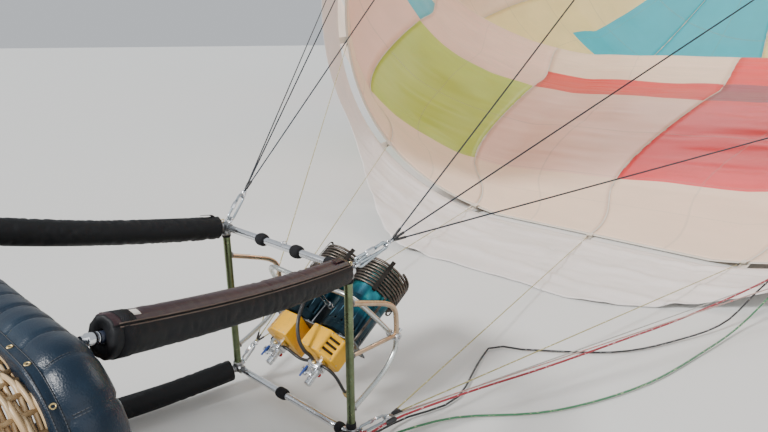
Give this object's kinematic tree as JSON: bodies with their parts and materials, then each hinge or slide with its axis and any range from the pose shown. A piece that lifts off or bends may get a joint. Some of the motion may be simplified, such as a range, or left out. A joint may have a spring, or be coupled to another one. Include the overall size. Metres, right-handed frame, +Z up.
{
  "type": "hot air balloon laid out for inflation",
  "caption": "Hot air balloon on the ground: basket on its side, padded uprights, load frame with a gimballed double burner, flying wires, skirt and half filled envelope.",
  "frame": {"origin": "on the ground under the middle of the whole balloon as it lies", "axes": "+Z up, +Y from the basket through the burner frame toward the envelope's crown, +X to the side that faces the picture's camera"},
  "size_m": [16.6658, 22.184, 13.1312],
  "materials": {
    "cloth_cream": "thin ripstop nylon, cream",
    "cloth_red": "thin ripstop nylon, patches of red",
    "webbing": "woven load tape",
    "skirt_cloth": "fire resistant cloth, cream",
    "wire": "stranded wire and aramid line",
    "link_steel": "polished steel",
    "rod": "nylon rod",
    "cover": "padded dark cover with a zip",
    "frame_tube": "worn stainless tube",
    "rail_tube": "bright stainless tube",
    "burner_steel": "stainless sheet",
    "can": "heat tinted stainless, teal",
    "coil": "sooty stainless tube",
    "box_paint": "amber yellow paint",
    "valve_chrome": "polished valve body",
    "leather": "dark navy padded leather",
    "wicker": "pale woven cane",
    "floor_wood": "varnished plywood and ash runners",
    "cylinder_alloy": "brushed alloy",
    "hose_rubber": "black fuel hose",
    "brass": "brass coupling",
    "rope_red": "braided red line",
    "rope_green": "braided green line",
    "rope_black": "braided black line"
  },
  "bodies": {
    "base": {"gore_01": "cloth_cream", "gore_02": "cloth_cream", "gore_03": "cloth_red", "gore_04": "cloth_cream", "gore_05": "cloth_cream", "gore_06": "cloth_cream", "gore_07": "cloth_red", "gore_08": "cloth_cream", "gore_09": "cloth_cream", "gore_10": "cloth_cream", "gore_11": "cloth_red", "gore_12": "cloth_cream", "crown_ring": "webbing", "mouth_tape": "webbing", "skirt": "skirt_cloth", "flying_wires_near_low": "wire", "flying_wires_near_high": "wire", "flying_wires_far_high": "wire", "flying_wires_far_low": "wire", "carabiner_near_low": "link_steel", "carabiner_near_high": "link_steel", "carabiner_far_high": "link_steel", "carabiner_far_low": "link_steel", "upright_rod_near_low": "rod", "upright_rod_near_high": "rod", "upright_rod_far_high": "rod", "upright_rod_far_low": "rod", "upright_cover_near_low": "cover", "upright_cover_near_high": "cover", "upright_cover_far_high": "cover", "upright_cover_far_low": "cover", "side_frame_near": "frame_tube", "side_frame_far": "frame_tube", "top_rail": "rail_tube", "bottom_rail": "rail_tube", "basket_rim": "leather", "basket_wall": "wicker", "basket_base_band": "leather", "basket_floor": "floor_wood", "fuel_cylinder_near": "cylinder_alloy", "fuel_cylinder_far": "cylinder_alloy", "line_red": "rope_red", "line_green": "rope_green", "line_black": "rope_black"},
    "gimbal": {"gimbal_yoke": "frame_tube"},
    "burners": {"burner_base": "burner_steel", "burner_can_near": "can", "burner_can_far": "can", "burner_coil_near": "coil", "burner_coil_far": "coil", "burner_box_near": "box_paint", "burner_box_far": "box_paint", "blast_valve_near": "valve_chrome", "blast_valve_far": "valve_chrome", "hose_riser": "hose_rubber", "hose_crossover": "hose_rubber", "hose_feed": "hose_rubber", "hose_coupling": "brass"},
    "vent_valve": {"vent_valve_panel": "cloth_cream"}
  },
  "joints": [
    {"name": "gimbal_pitch", "type": "hinge", "parent": "base", "child": "gimbal", "pos_m": [0.39487, -8.73496, 0.42], "axis": [1, 0, 0], "range_deg": [-60, 2]},
    {"name": "burner_swivel", "type": "hinge", "parent": "gimbal", "child": "burners", "pos_m": [0.39487, -8.73496, 0.42], "axis": [0, -0.5878, 0.809], "range_deg": [-15, 15]},
    {"name": "vent_valve_pull", "type": "slide", "parent": "base", "child": "vent_valve", "axis": [0.0698, -0.9976, 0], "range_m": [0, 1.2]}
  ]
}
